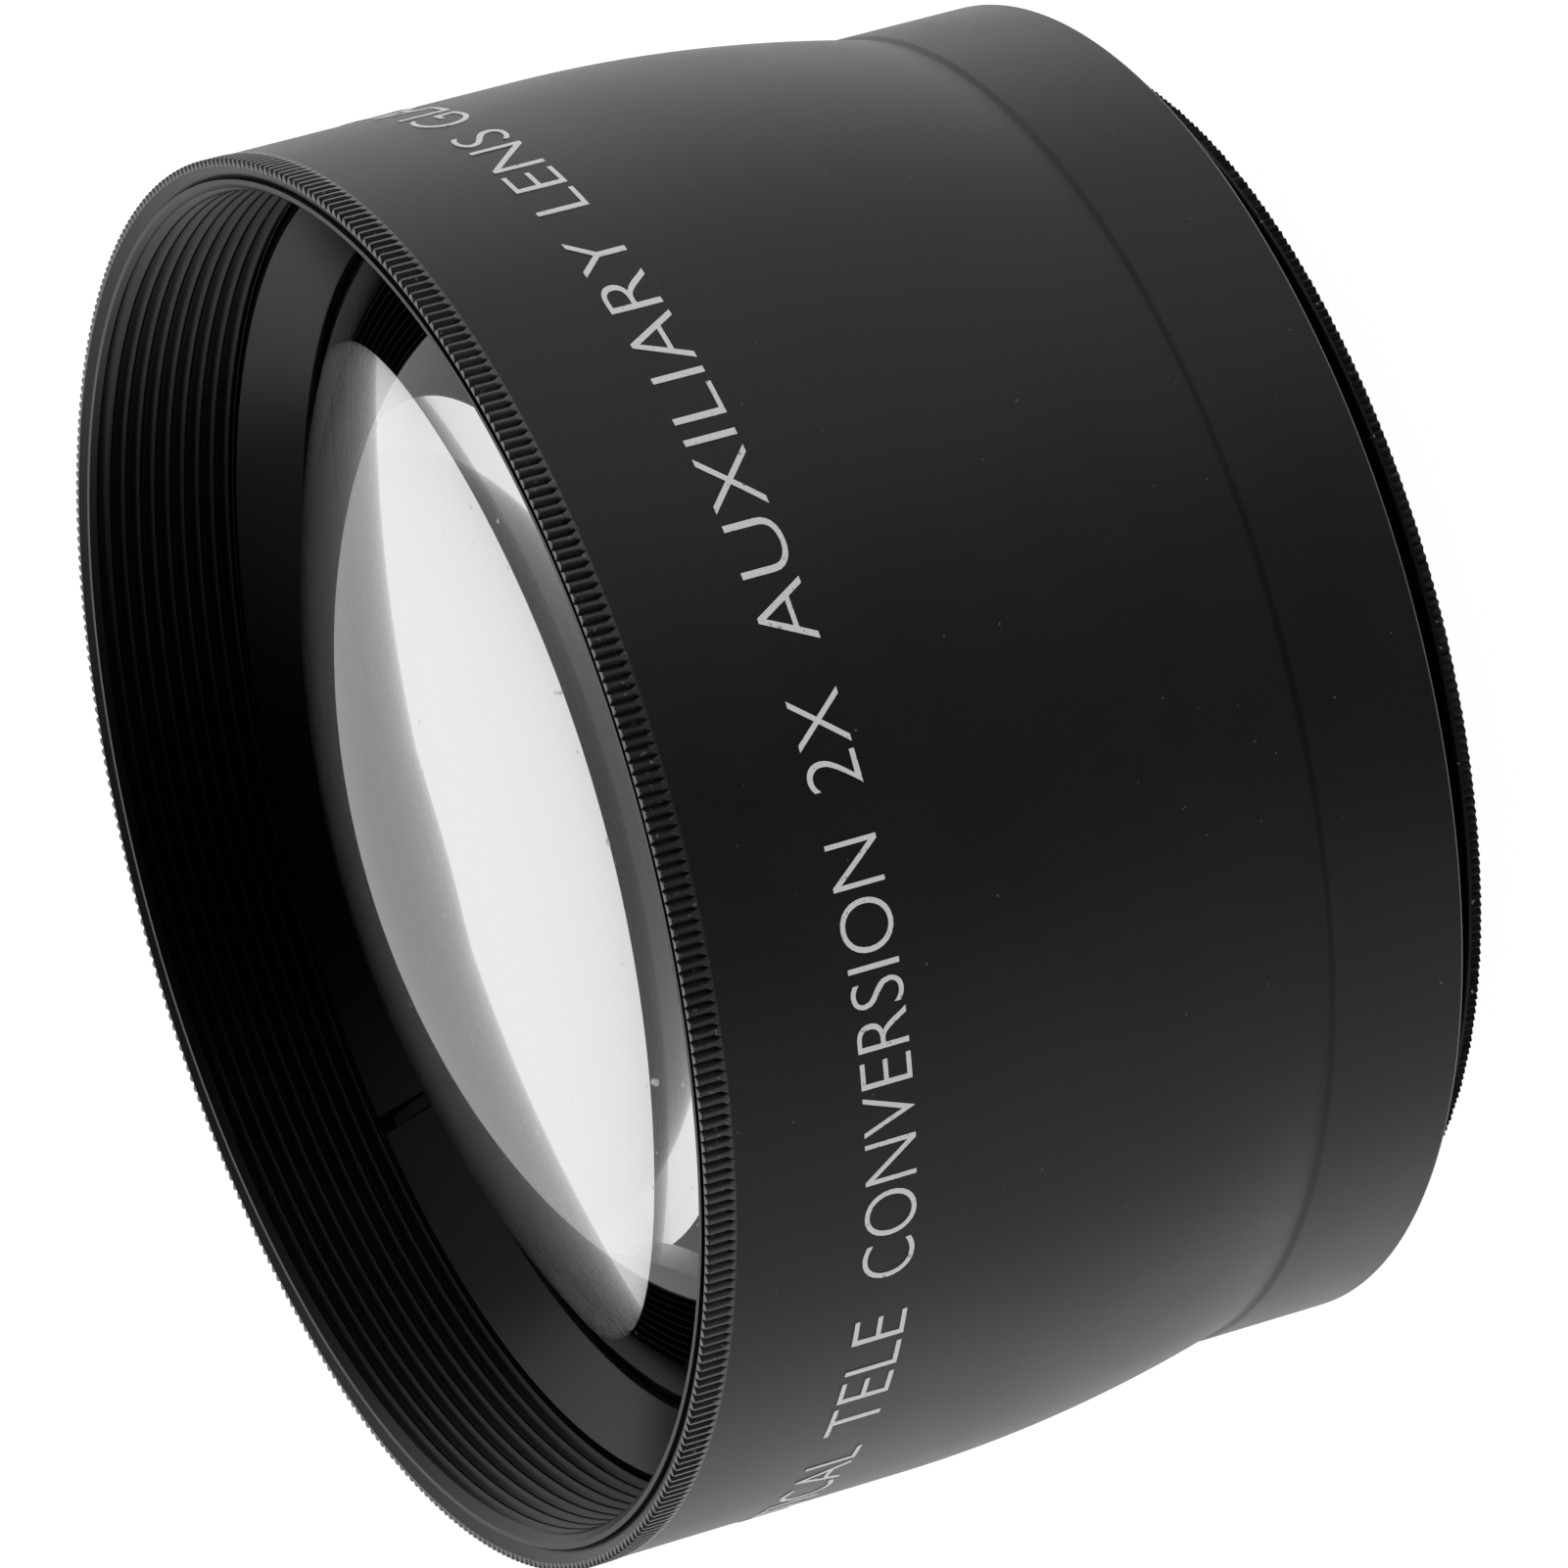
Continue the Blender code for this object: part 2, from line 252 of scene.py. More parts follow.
def finishPiece(name, points, faces, finish, body, replaced, sharpAngle=32.0, merge=0.0,
                second=None):
    # Puts arrays of points and faces into a mesh, closes its doubles and turns its faces outwards.
    mesh = bpy.data.meshes.new(name)
    mesh.from_pydata(points.reshape(-1, 3).tolist(), [], faces)
    work = bmesh.new()
    work.from_mesh(mesh)
    if merge:
        bmesh.ops.remove_doubles(work, verts=work.verts, dist=merge)
        bmesh.ops.dissolve_degenerate(work, edges=work.edges, dist=merge)
    bmesh.ops.recalc_face_normals(work, faces=work.faces)
    work.to_mesh(mesh)
    work.free()
    mesh.polygons.foreach_set("use_smooth", np.ones(len(mesh.polygons), dtype=bool))
    mesh.set_sharp_from_angle(angle=math.radians(sharpAngle))
    mesh.materials.append(finish)
    if second:
        mesh.materials.append(second[0])
        mesh.polygons.foreach_set("material_index", second[1])
    piece = bpy.data.objects.new(name, mesh)
    bpy.context.scene.collection.objects.link(piece)
    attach(piece, body)
    if replaced:
        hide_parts(*replaced)
    return piece


def easedProfile(corners, radius, sharpest=18.0, steps=4):
    # Each real corner of a closed profile becomes a short curve: a weighted mean (1-u)^2, 2u(1-u), u^2 of the
    # point before it, the corner and the point after it.
    corners = np.array(corners, dtype=float)
    before, after = np.roll(corners, 1, axis=0) - corners, np.roll(corners, -1, axis=0) - corners
    backLength, aheadLength = np.linalg.norm(before, axis=1), np.linalg.norm(after, axis=1)
    cosine = -(before * after).sum(1) / (backLength * aheadLength)
    u = np.linspace(0.0, 1.0, steps + 1)[:, None]
    eased = []
    most = 0.4  # of a side's length
    straight = math.cos(math.radians(sharpest))
    sides = zip(corners, before, after, backLength, aheadLength, cosine)
    for spot, backward, forward, back, ahead, bend in sides:
        if bend > straight:
            eased.append(spot[None])
            continue
        first = spot + backward / back * min(radius, most * back)
        last = spot + forward / ahead * min(radius, most * ahead)
        eased.append((1.0 - u) ** 2 * first + 2.0 * u * (1.0 - u) * spot + u ** 2 * last)
    return np.concatenate(eased)


def gridFaces(rows, columns, closeRows=True, wrapRow=None):
    # Quads between neighbouring rows and columns. Row i of the last column meets row wrapRow[i] of the first.
    rowIndex = np.arange(rows if closeRows else rows - 1)
    nextRow = (rowIndex + 1) % rows
    wrap = np.arange(rows) if wrapRow is None else wrapRow
    column = np.arange(columns)

    def corner(row, step):
        ahead = column[None] + step
        return np.where(ahead < columns, row[:, None] * columns + ahead, wrap[row][:, None] * columns)

    places = (corner(rowIndex, 0), corner(nextRow, 0), corner(nextRow, 1), corner(rowIndex, 1))
    quads = np.stack(places, axis=-1)
    return quads.reshape(-1, 4).tolist()


def aroundAxis(radius, depth, turn):
    # The point at this radius, depth and turn: (r cos t, r sin t, rim plane - d).
    radius, depth, turn = np.broadcast_arrays(radius, depth, turn)
    return np.stack([radius * mm * np.cos(turn), radius * mm * np.sin(turn), rimPlane - depth * mm], axis=-1)


def turnedRing(name, corners, finish, body, replaced, columns=384, ease=0.08):
    # A closed (radius, depth) profile carried round the axis.
    profile = easedProfile(corners, ease)
    turn = np.arange(columns) * fullTurn / columns
    points = aroundAxis(profile[:, :1], profile[:, 1:], turn[None])
    return finishPiece(name, points, gridFaces(len(profile), columns), finish, body, replaced)


def sphereDepth(radius, curve, pole, bulge):
    # Depth of a spherical face at this distance from the axis: pole + bulge (R - sqrt(R^2 - r^2)).
    return pole + bulge * (curve - np.sqrt(curve ** 2 - radius ** 2))


def turnedLens(name, front, back, outer, edge, finish, body, replaced, slotName, columns=256, rings=56):
    # Two spherical faces and a ground edge turned about the axis. Each face has one point on the axis.
    radius = outer * np.sqrt(np.linspace(0.0, 1.0, rings))[1:]
    trimmed = np.append(radius[:-1], [outer - edge, outer])
    trimmed.sort()
    frontDepth = sphereDepth(trimmed, *front)
    backDepth = sphereDepth(trimmed, *back)
    frontDepth[-1] += edge
    backDepth[-1] -= edge
    profile = np.concatenate([np.stack([trimmed, frontDepth], 1), np.stack([trimmed, backDepth], 1)[::-1]])
    turn = np.arange(columns) * fullTurn / columns
    points = aroundAxis(profile[:, :1], profile[:, 1:], turn[None]).reshape(-1, 3)
    poles = aroundAxis(np.zeros(2), np.array([front[1], back[1]]), np.zeros(2))
    rows, count = len(profile), len(points)
    faces = gridFaces(rows, columns, closeRows=False)
    this, following = np.arange(columns), (np.arange(columns) + 1) % columns
    frontFan = np.stack([np.full(columns, count), this, following], 1)
    backFan = np.stack([np.full(columns, count + 1), this, following], 1)
    backFan[:, 1:] += (rows - 1) * columns
    allFaces = faces + frontFan.tolist() + backFan.tolist()
    painted = np.zeros(len(allFaces), dtype=np.int32)
    edgeRow = rings - 1
    painted[(edgeRow - 1) * columns:(edgeRow + 2) * columns] = 1
    return finishPiece(name, np.concatenate([points, poles]), allFaces, finish, body, replaced,
                       second=(edgePaint, painted))


def threadWave(phase, flatCrest, flatRoot):
    # One thread in section, 0 at the crest and 1 at the root, as a clipped triangle wave of the phase.
    triangle = 1.0 - np.abs(2.0 * (phase - np.floor(phase)) - 1.0)
    return np.clip((triangle - flatCrest) / (1.0 - flatCrest - flatRoot), 0.0, 1.0)


def threadedRing(name, spec, finish, body, replaced, columns=320, perPitch=10):
    # A helical surface between two planes: the depth of row i at turn t is
    # start + pitch (i / n + t / 2 pi - 1), held between the planes, and its radius is
    # crest + (root - crest) wave((depth - start) / pitch - t / 2 pi).
    start, stop, pitch, hand = spec["start"], spec["stop"], spec["pitch"], spec["hand"]
    count = int(math.ceil((stop - start) / pitch + 1.0)) * perPitch + 1
    turn = np.arange(columns) * fullTurn / columns
    row = np.arange(count)[:, None]
    depth = np.clip(start + pitch * (row / perPitch + turn[None] / fullTurn - 1.0), start, stop)
    wave = threadWave((depth - start) / pitch - turn[None] / fullTurn, spec["flatCrest"], spec["flatRoot"])
    radius = spec["crest"] + (spec["root"] - spec["crest"]) * wave
    side = np.sign(spec["root"] - spec["crest"])
    lead = spec["chamfer"]
    slack = 0.03
    entry = spec["root"] + side * slack - side * (depth - start)  # the entry cone at the open end
    if side > 0:
        radius = np.where(depth < start + lead, np.maximum(radius, entry), radius)
    else:
        ending = spec["root"] - slack + (stop - depth)
        radius = np.where(depth > stop - lead, np.minimum(radius, ending), radius)
    wall = np.full((1, columns), spec["wall"])
    depths = np.concatenate([np.full((1, columns), start), depth, np.full((1, columns), stop)])
    radii = np.concatenate([wall, radius, wall])
    points = aroundAxis(radii, depths, hand * turn[None])
    wrap = np.arange(count + 2)
    wrap[1:-1] = np.minimum(np.arange(count) + perPitch, count - 1) + 1
    faces = gridFaces(count + 2, columns, wrapRow=wrap)
    return finishPiece(name, points, faces, finish, body, replaced, sharpAngle=40.0, merge=1e-7)


barrelSpec = {
    "outer": 32.23, "waistFrom": 15.5, "waistTo": 31.1, "waistFall": 0.0077,
    "collar": 30.49, "collarTo": 37.84, "collarRise": 0.3, "tailBevel": 0.18, "tailBore": 26.0,
    "frontWall": 31.30, "frontFrom": 1.0, "frontRise": (0.3, 0.005, 1.2),  # lies under the knurled rim
    # radius and depth of each step inside, from the tail to the mouth
    "steps": [(26.0, 28.6), (24.0, 28.6), (24.0, 27.4), (26.2, 27.4), (26.2, 25.7), (28.6, 25.7),
              (28.6, 15.2), (30.8, 15.2), (30.8, 7.26), (31.30, 7.26)],
}


def makeBarrel(spec):
    # The waist's radius is outer - k (depth - start)^2, then a straight collar.
    waist = np.linspace(spec["waistFrom"], spec["waistTo"], 40)
    wall, start = spec["frontWall"], spec["frontFrom"]
    rise, under, behind = spec["frontRise"]
    outside = [(wall + rise, start), (spec["outer"] - under, behind)]
    outside += list(zip(spec["outer"] - spec["waistFall"] * (waist - spec["waistFrom"]) ** 2, waist))
    collar, end, bevel = spec["collar"], spec["collarTo"], spec["tailBevel"]
    outside += [(collar, spec["waistTo"] + spec["collarRise"]), (collar, end - bevel), (collar - bevel, end)]
    inside = [(spec["tailBore"], end)] + spec["steps"] + [(wall, start)]
    return turnedRing("barrelShell", outside + inside, barrelBlack, "lens", ["barrel"],
                      columns=448)


bandSpec = {
    "teeth": 393, "perTooth": 8, "cut": 0.34, "ridge": 0.30, "lift": 0.03,
    "outer": 32.23, "inner": 31.30, "lipRadius": 31.90, "lipDepth": 0.35, "faceRadius": 32.21, "bevel": 0.05,
    "rows": [0.3, 0.6], "runStart": 1.00, "runEnd": 1.32, "runRows": 7, "liftEnds": 0.12, "backEdge": 1.34,
}


def makeKnurledRim(spec):
    # Straight knurling: the radius is the smaller of outer + lift and the front bevel, less
    # max(0, cut * groove(t) - run-out(depth)). The groove is a triangle wave with a flat ridge. The run-out
    # grows from 0 to cut, so each groove closes to a point towards the rear.
    columns = spec["teeth"] * spec["perTooth"]
    turn = np.arange(columns) * fullTurn / columns
    phase = (np.arange(columns) % spec["perTooth"]) / spec["perTooth"]
    wave = 1.0 - np.abs(2.0 * phase - 1.0)
    groove = np.clip((wave - spec["ridge"]) / (1.0 - spec["ridge"]), 0.0, 1.0)
    runRows = np.linspace(spec["runStart"], spec["runEnd"], spec["runRows"])
    depth = np.concatenate([[0.0, spec["bevel"]] + spec["rows"], runRows])
    front = np.interp(depth, [0.0, spec["bevel"]], [spec["faceRadius"], spec["outer"] + spec["lift"]])
    runOut = np.interp(depth, [spec["runStart"], spec["runEnd"]], [0.0, spec["cut"]])
    liftShare = np.interp(depth, [spec["runStart"], spec["runEnd"] - spec["liftEnds"]], [1.0, 0.0])
    ridgeLift = spec["lift"] * liftShare
    sunk = np.maximum(0.0, spec["cut"] * groove[None] - runOut[:, None])
    radius = np.minimum(spec["outer"] + ridgeLift[:, None], front[:, None]) - sunk
    inner, lipRow, outer = (np.full((1, columns), spec[key]) for key in ("inner", "lipRadius", "outer"))
    radii = np.concatenate([inner, lipRow, radius, outer, inner])
    depths = np.concatenate([[spec["lipDepth"], 0.0], depth, [spec["backEdge"], spec["backEdge"]]])
    points = aroundAxis(radii, depths[:, None], turn[None])
    lip = np.zeros(len(depths) * columns, dtype=np.int32)
    lip[:columns] = 1  # the bevel inside the mouth is turned, not knurled
    return finishPiece("knurledRim", points, gridFaces(len(depths), columns), knurlBlack, "lens", ["barrel"],
                       sharpAngle=24.0, second=(threadBlack, lip))


filterThreadSpec = {
    "start": 0.14, "stop": 7.24, "pitch": 0.75, "crest": 30.62, "root": 31.02, "wall": 31.28,
    "flatCrest": 0.16, "flatRoot": 0.06, "chamfer": 0.5, "hand": 1.0,
}

makeBarrel(barrelSpec)
makeKnurledRim(bandSpec)
threadedRing("filterThread", filterThreadSpec, threadBlack, "lens", ["barrel"])
print("barrel made")


letterSpec = {
    "words": [("OPTICAL", 87.2, 111.9), ("TELE", 115.7, 131.0), ("CONVERSION", 135.2, 172.5),
              ("2X", 176.4, 183.9), ("AUXILIARY", 187.7, 227.2), ("LENS", 231.2, 247.3),
              ("GLASS", 250.9, 270.0)],
    "from": 7.46, "to": 9.96, "sink": 0.03, "proud": 0.035, "longest": 0.6, "thin": -0.014, "splits": 2,
}


def makeLettering(spec):
    # A word's flat outline is wrapped on the barrel: width becomes turn, height depth and thickness radius.
    pieces = bmesh.new()
    for word, startAngle, endAngle in spec["words"]:
        curve = bpy.data.curves.new(word, "FONT")
        curve.body = word
        curve.resolution_u = 6
        curve.offset = spec["thin"]
        curve.extrude = 0.5
        shown = bpy.data.objects.new(word, curve)
        bpy.context.scene.collection.objects.link(shown)
        graph = bpy.context.evaluated_depsgraph_get()
        flat = bpy.data.meshes.new_from_object(shown.evaluated_get(graph))
        bpy.data.objects.remove(shown)
        bpy.data.curves.remove(curve)
        work = bmesh.new()
        work.from_mesh(flat)
        bmesh.ops.remove_doubles(work, verts=work.verts, dist=1e-5)
        bmesh.ops.triangulate(work, faces=work.faces)
        spots = np.array([vertex.co for vertex in work.verts])
        low, high = spots.min(0), spots.max(0)
        perUnit = (math.radians(endAngle - startAngle) * barrelSpec["outer"]) / (high[0] - low[0])
        for split in range(spec["splits"]):
            long = [edge for edge in work.edges
                    if abs(edge.verts[0].co.x - edge.verts[1].co.x) * perUnit > spec["longest"]]
            bmesh.ops.subdivide_edges(work, edges=long, cuts=1)
        bmesh.ops.triangulate(work, faces=work.faces)
        work.to_mesh(flat)
        work.free()
        spots = np.empty(len(flat.vertices) * 3)
        flat.vertices.foreach_get("co", spots)
        spots = spots.reshape(-1, 3)
        part = (spots - low) / (high - low)
        turn = np.radians(startAngle + 90.0 + part[:, 0] * (endAngle - startAngle))
        depth = spec["to"] + (spec["from"] - spec["to"]) * part[:, 1]
        radius = barrelSpec["outer"] - spec["sink"] + (spec["sink"] + spec["proud"]) * part[:, 2]
        flat.vertices.foreach_set("co", aroundAxis(radius, depth, turn).ravel())
        pieces.from_mesh(flat)
        bpy.data.meshes.remove(flat)
    mesh = bpy.data.meshes.new("lettering")
    bmesh.ops.recalc_face_normals(pieces, faces=pieces.faces)
    pieces.to_mesh(mesh)
    pieces.free()
    mesh.materials.append(letterGrey)
    piece = bpy.data.objects.new("lettering", mesh)
    bpy.context.scene.collection.objects.link(piece)
    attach(piece, "lens")
    return piece


makeLettering(letterSpec)
print("lettering made")


ringSpec = {"outer": 30.5, "front": 7.2, "mouth": 30.2, "throat": 28.0, "land": 0.35, "clear": 0.06,
            "seatRows": 8, "seatIn": 0.3, "seatDrop": 0.1, "ease": 0.06,
            "notchAngle": 112.4, "notchWidth": 0.8, "notchDepth": 0.7}


def makeFrontRing(spec, columns=1440):
    # A turned ring with a coned face, whose back follows the dome. Its depth is max(profile, front + notchDepth)
    # in two narrow arcs, opposite each other.
    dome = glassSpec["front"]
    seat = np.linspace(spec["outer"] - spec["seatIn"], spec["throat"], spec["seatRows"])
    seatDepth = sphereDepth(seat, dome["frontCurve"], dome["apex"], 1.0) - spec["clear"]
    corners = [(spec["outer"], spec["front"]), (spec["outer"], seatDepth[0] - spec["seatDrop"])]
    corners += list(zip(seat, seatDepth))
    corners += [(spec["throat"], seatDepth[-1] - spec["land"]), (spec["mouth"], spec["front"])]
    corners = easedProfile(corners, spec["ease"])
    turn = np.arange(columns) * fullTurn / columns
    quarter = math.pi / 2
    away = np.degrees(np.abs((turn - math.radians(spec["notchAngle"]) + quarter) % math.pi - quarter))
    halfWidth = math.degrees(0.5 * spec["notchWidth"] / spec["mouth"])
    lowest = spec["front"] + spec["notchDepth"] * (away < halfWidth)
    radius = np.repeat(corners[:, :1], columns, axis=1)
    depth = np.maximum(corners[:, 1:], lowest[None])
    return finishPiece("frontRing", aroundAxis(radius, depth, turn[None]), gridFaces(len(corners), columns),
                       ringBlack, "lens", ["front_retaining_ring"], sharpAngle=35.0)


glassSpec = {
    "front": {"outer": 30.4, "apex": 1.48, "frontCurve": 50.4, "thick": 13.4, "backCurve": 5000.0},
    "crown": {"outer": 28.2, "edgeFront": 21.2, "edge": 1.0, "frontCurve": 150.0, "backCurve": 400.0},
    "flint": {"edgeBack": 25.4, "backCurve": 400.0, "gap": 0.3},
    "rear": {"outer": 17.0, "edgeFront": 30.0, "edge": 4.3, "frontCurve": 85.0, "backCurve": 70.0},
    "edgeBevel": 0.12,
}


def fall(radius, curve):
    # How far a sphere drops between its pole and this radius: R - sqrt(R^2 - r^2).
    return curve - math.sqrt(curve ** 2 - radius ** 2)


def makeGlass(name, front, back, outer, finish, node, slotName, **counts):
    return turnedLens(name, front, back, outer, glassSpec["edgeBevel"], finish, "lens", [node], slotName,
                      **counts)


def makeGlasses(spec):
    # Each face is its radius of curvature, the depth of its pole, and 1 if its edge lies deeper, else -1.
    one, two, three, four = spec["front"], spec["crown"], spec["flint"], spec["rear"]
    makeGlass("frontElement", (one["frontCurve"], one["apex"], 1.0),
              (one["backCurve"], one["apex"] + one["thick"], 1.0), one["outer"], coatedGlass,
              "front_element", "coated_glass")
    outer = two["outer"]
    crownPole = two["edgeFront"] - fall(outer, two["frontCurve"])
    cement = two["edgeFront"] + two["edge"] + fall(outer, two["backCurve"])
    makeGlass("crownElement", (two["frontCurve"], crownPole, 1.0), (two["backCurve"], cement, -1.0), outer,
              plainGlass, "doublet_crown", "plain_glass")
    flintPole = three["edgeBack"] - fall(outer, three["backCurve"])
    makeGlass("flintElement", (two["backCurve"], cement + three["gap"], -1.0),
              (three["backCurve"], flintPole, 1.0), outer, plainGlass, "doublet_flint", "plain_glass")
    frontPole = four["edgeFront"] + fall(four["outer"], four["frontCurve"])
    backPole = four["edgeFront"] + four["edge"] - fall(four["outer"], four["backCurve"])
    makeGlass("rearElement", (four["frontCurve"], frontPole, -1.0), (four["backCurve"], backPole, 1.0),
              four["outer"], plainGlass, "rear_element", "plain_glass", columns=192, rings=40)


def baffle(radiusFrom, depthFrom, radiusTo, depthTo, count, height):
    # A saw-tooth line of light-trap grooves between two points of a profile.
    share = np.linspace(0.0, 1.0, 2 * count + 1)
    lift = np.where(np.arange(2 * count + 1) % 2 == 1, height, 0.0)
    radii = radiusFrom + (radiusTo - radiusFrom) * share + lift
    return list(zip(radii, depthFrom + (depthTo - depthFrom) * share))


spacerSpec = {"outer": 28.3, "inner": 27.4, "front": 15.25, "lipGap": 0.3, "bevel": 0.2, "grooves": 9,
              "grooveDepth": 0.35, "ease": 0.05}


def makeSpacer(spec):
    # A tube that ends just in front of the crown glass, with grooves along its bore.
    crown = glassSpec["crown"]
    crownPole = crown["edgeFront"] - fall(crown["outer"], crown["frontCurve"])
    lip = crownPole + fall(spec["inner"], crown["frontCurve"]) - spec["lipGap"]
    bore = baffle(spec["inner"], lip, spec["inner"], spec["front"] + spec["bevel"], spec["grooves"],
                  spec["grooveDepth"])
    corners = [(spec["outer"], spec["front"]), (spec["outer"], lip)] + bore + [(spec["inner"], spec["front"])]
    turnedRing("frontSpacer", corners, insideBlack, "lens", ["front_spacer"],
               ease=spec["ease"])


makeFrontRing(ringSpec)
makeGlasses(glassSpec)
makeSpacer(spacerSpec)
# These three are plain sections, as radius and depth. A bore is the arguments of baffle.
stopSpec = {"corners": [(25.9, 26.0), (25.9, 27.1), (21.5, 27.1), (21.5, 26.8), (23.0, 26.0)]}
cellSpec = {"corners": [(25.7, 28.9), (25.7, 35.2), (17.3, 35.2), (17.3, 29.7), (15.6, 29.7)],
            "bore": (15.6, 29.3, 22.9, 28.95, 5, 0.0)}
rearRingSpec = {"corners": [(17.0, 34.6), (17.0, 35.2), (15.8, 35.2), (15.6, 34.6)]}
turnedRing("glareStop", stopSpec["corners"], insideBlack, "lens", ["glare_stop"])
turnedRing("rearCell", cellSpec["corners"] + baffle(*cellSpec["bore"]), insideBlack, "lens", ["rear_cell"])
turnedRing("rearRing", rearRingSpec["corners"], ringBlack, "lens", ["rear_retaining_ring"],
           columns=256)
mountSpec = {
    "start": 35.5, "stop": 37.64, "pitch": 0.75, "crest": 24.08, "root": 24.42, "wall": 25.7,
    "flatCrest": 0.16, "flatRoot": 0.06, "chamfer": 0.0, "hand": -1.0,
}
threadedRing("mountRing", mountSpec, ringBlack, "lens", ["rear_mount"], columns=256)
print("rings, cells and glass made")


flangeSpec = {
    "teeth": 420, "perTooth": 4, "cut": 0.16, "uneven": 0.06, "seed": 7,
    "outer": 27.7, "inner": 22.4, "front": 39.60, "back": 40.32, "bevel": 0.06,
    "line": (0.9, 0.85, 0.8, 0.03),  # a fine turned line on the front: its radii inside outer, and its depth
    "lipTo": 39.74, "gutter": 0.06, "gutterRows": (0.03, 0.07, 0.11, 0.16), "landing": 0.4,
    "shares": (0.7, 1.0, 0.8),
}


def makeFlange(spec):
    # A thin disc with a plain front lip, a fine gutter behind it and straight grooves across the rest of its
    # edge: radius = outer - cut * groove(t) * share(row). The groove is a triangle wave with a random part.
    columns = spec["teeth"] * spec["perTooth"]
    turn = np.arange(columns) * fullTurn / columns
    groove = 1.0 - np.abs(2.0 * (np.arange(columns) % spec["perTooth"]) / spec["perTooth"] - 1.0)
    groove = groove + spec["uneven"] / spec["cut"] * np.random.default_rng(spec["seed"]).random(columns)
    outer, inner, front, back = spec["outer"], spec["inner"], spec["front"], spec["back"]
    bevel, lip, gutter = spec["bevel"], spec["lipTo"], spec["gutter"]
    lineIn, lineMiddle, lineOut, lineDepth = spec["line"]
    floorFrom, floorTo, riseTo, fullFrom = (lip + step for step in spec["gutterRows"])
    rising, full, ending = spec["shares"]
    rows = np.array([
        (inner, front, 0.0), (outer - lineIn, front, 0.0), (outer - lineMiddle, front + lineDepth, 0.0),
        (outer - lineOut, front, 0.0), (outer - bevel, front, 0.0), (outer, front + bevel, 0.0),
        (outer, lip, 0.0), (outer - gutter, floorFrom, 0.0), (outer - gutter, floorTo, 0.0),
        (outer, riseTo, rising), (outer, fullFrom, full), (outer, back - bevel, full),
        (outer - bevel, back, ending), (outer - spec["landing"], back, 0.0), (inner, back, 0.0)])
    radius = rows[:, :1] - spec["cut"] * rows[:, 2:] * groove[None]
    return finishPiece("adapterFlange", aroundAxis(radius, rows[:, 1:2], turn[None]),
                       gridFaces(len(rows), columns), adapterBlack, "adapter", ["adapter_ring"],
                       sharpAngle=28.0, merge=1e-7)


hubThreadSpec = {
    "start": 36.0, "stop": 39.0, "pitch": 0.75, "crest": 24.0, "root": 23.66, "wall": 21.3,
    "flatCrest": 0.16, "flatRoot": 0.06, "chamfer": 0.0, "hand": 1.0,
}
rearThreadSpec = {
    "start": 40.32, "stop": 42.2, "pitch": 0.75, "crest": 23.0, "root": 22.62, "wall": 21.3,
    "flatCrest": 0.16, "flatRoot": 0.06, "chamfer": 0.35, "hand": 1.0,
}
boreSpec = {
    "start": [(22.4, 39.0), (22.4, 39.6), (22.4, 40.32), (21.32, 40.34), (21.32, 42.2), (21.25, 42.2)],
    "bore": (21.2, 41.9, 21.2, 36.3, 9, 0.12), "finish": [(21.25, 36.0), (21.32, 36.0), (21.32, 39.0)],
    "ease": 0.02,
}
makeFlange(flangeSpec)
for threadName, threadSpec in (("adapterHubThread", hubThreadSpec), ("adapterRearThread", rearThreadSpec)):
    threadedRing(threadName, threadSpec, adapterBlack, "adapter", ["adapter_ring"], columns=256)
turnedRing("adapterBore", boreSpec["start"] + baffle(*boreSpec["bore"]) + boreSpec["finish"], adapterBlack,
           "adapter", ["adapter_ring"], columns=256, ease=boreSpec["ease"])
print("adapter made")


studio = {
    "lens": 295.7, "cameraAt": (-0.00121, -0.5335, 0.24355),
    "right": (-0.26914, -0.36875, -0.88971), "up": (0.96310, -0.10305, -0.24863),
    "back": (0.0, -0.92380, 0.38288), "sensor": 36.0, "clip": 0.01,
    "floorSize": 3.0, "floorDrop": 0.0002, "floorGrey": 0.25, "floorRough": 0.9, "floorGlow": 0.985,
    "sideShift": 0.10,  # the band lies a little to one side
    "walls": [(0.0, 0.015), (0.20, 0.03), (0.50, 0.42), (0.68, 0.52), (1.0, 0.56)],
    "high": [(0.0, 1.0), (0.10, 1.0), (0.45, 0.45), (1.0, 0.45)],  # the side walls darken upwards
    "backWall": [(0.0, 0.0), (0.54, 0.0), (0.62, 0.35), (0.68, 0.78), (0.82, 0.88), (1.0, 0.88)],
}


def makeFloor(spec):
    # A flat square at the height of the rear end: corner signs times half the size.
    half = spec["floorSize"] * 0.5
    signs = np.array([(-1.0, -1.0), (1.0, -1.0), (1.0, 1.0), (-1.0, 1.0)])
    corners = np.column_stack([signs * half, np.full(4, tailPlane - spec["floorDrop"])])
    mesh = bpy.data.meshes.new("floor")
    mesh.from_pydata(corners.tolist(), [], [(0, 1, 2, 3)])
    made, shader = newMaterial("paleFloor")
    shader.surface({"Base Color": grey(spec["floorGrey"]), "Roughness": spec["floorRough"],
                    "Emission Color": grey(1.0),
                    "Emission Strength": spec["floorGlow"], "Specular IOR Level": 0.0})
    mesh.materials.append(made)
    floor = bpy.data.objects.new("floor", mesh)
    bpy.context.scene.collection.objects.link(floor)
    floor.visible_glossy = False
    floor.visible_transmission = False


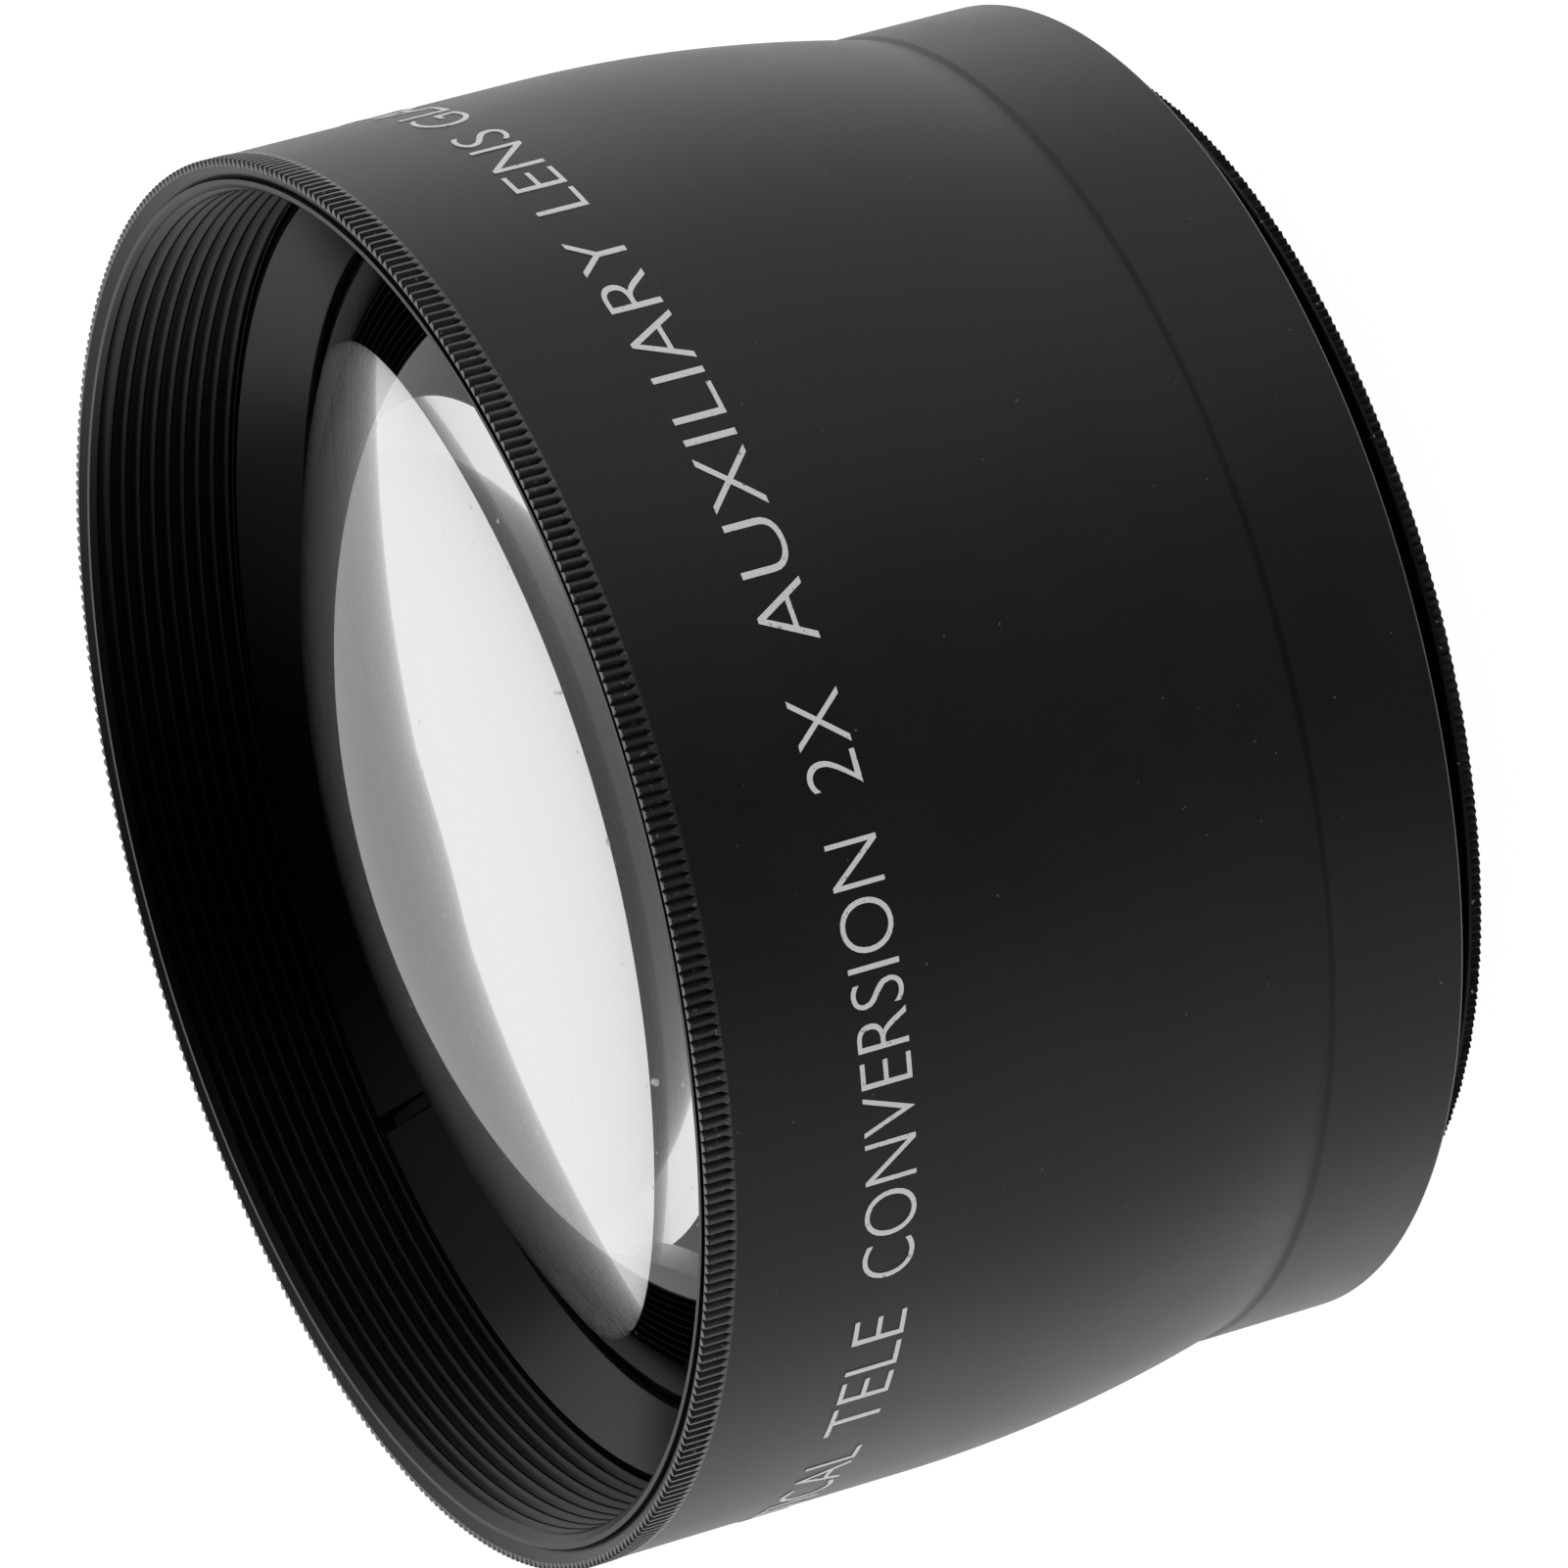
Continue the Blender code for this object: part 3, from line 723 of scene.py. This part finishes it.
def makeWorld(spec):
    # A white room with a dark band that runs from the viewer's side up over the set. A direction's sideways
    # angle is asin |x| and its turn is |atan2(z, -y)|, from 0 towards the viewer to pi at the back wall. Its
    # light is max(walls(sideways) * high(z), backWall(turn)).
    world = bpy.data.worlds.new("studio")
    bpy.context.scene.world = world
    world.use_nodes = True
    shader = Shader(world.node_tree)
    direction = shader.node("ShaderNodeTexCoord", out="Generated")
    split = shader.node("ShaderNodeSeparateXYZ", {}, {0: direction}).socket.node
    across, ahead, rise = (Value(shader, socket) for socket in split.outputs)
    sideways = (across + spec["sideShift"]).math("ABSOLUTE").math("ARCSINE") * (2.0 / math.pi)
    turned = rise.math("ARCTAN2", ahead * -1.0).math("ABSOLUTE") * (1.0 / math.pi)
    walls = shader.node("ShaderNodeValToRGB", {"stops": spec["walls"]}, {0: sideways})
    back = shader.node("ShaderNodeValToRGB", {"stops": spec["backWall"]}, {0: turned})
    height = shader.node("ShaderNodeValToRGB", {"stops": spec["high"]}, {0: rise})
    light = (walls * height).math("MAXIMUM", back)
    room = shader.node("ShaderNodeBackground", {}, {"Color": grey(1.0), "Strength": light})
    plain = shader.node("ShaderNodeBackground", {}, {"Color": grey(1.0), "Strength": 1.0})
    seen = shader.node("ShaderNodeLightPath", out="Is Camera Ray")
    both = shader.node("ShaderNodeMixShader", {}, {0: seen, 1: room, 2: plain})
    shader.node("ShaderNodeOutputWorld", {}, {"Surface": both})


def makeCamera(spec):
    data = bpy.data.cameras.new("camera")
    data.lens = spec["lens"]
    data.sensor_width = spec["sensor"]
    data.clip_start = spec["clip"]
    camera = bpy.data.objects.new("camera", data)
    turned = Matrix((spec["right"], spec["up"], spec["back"])).transposed()
    camera.matrix_world = Matrix.Translation(Vector(spec["cameraAt"])) @ turned.to_4x4()
    bpy.context.scene.collection.objects.link(camera)
    bpy.context.scene.camera = camera


makeFloor(studio)
makeWorld(studio)
makeCamera(studio)
bpy.context.scene.view_settings.view_transform = "Standard"
print("studio made")
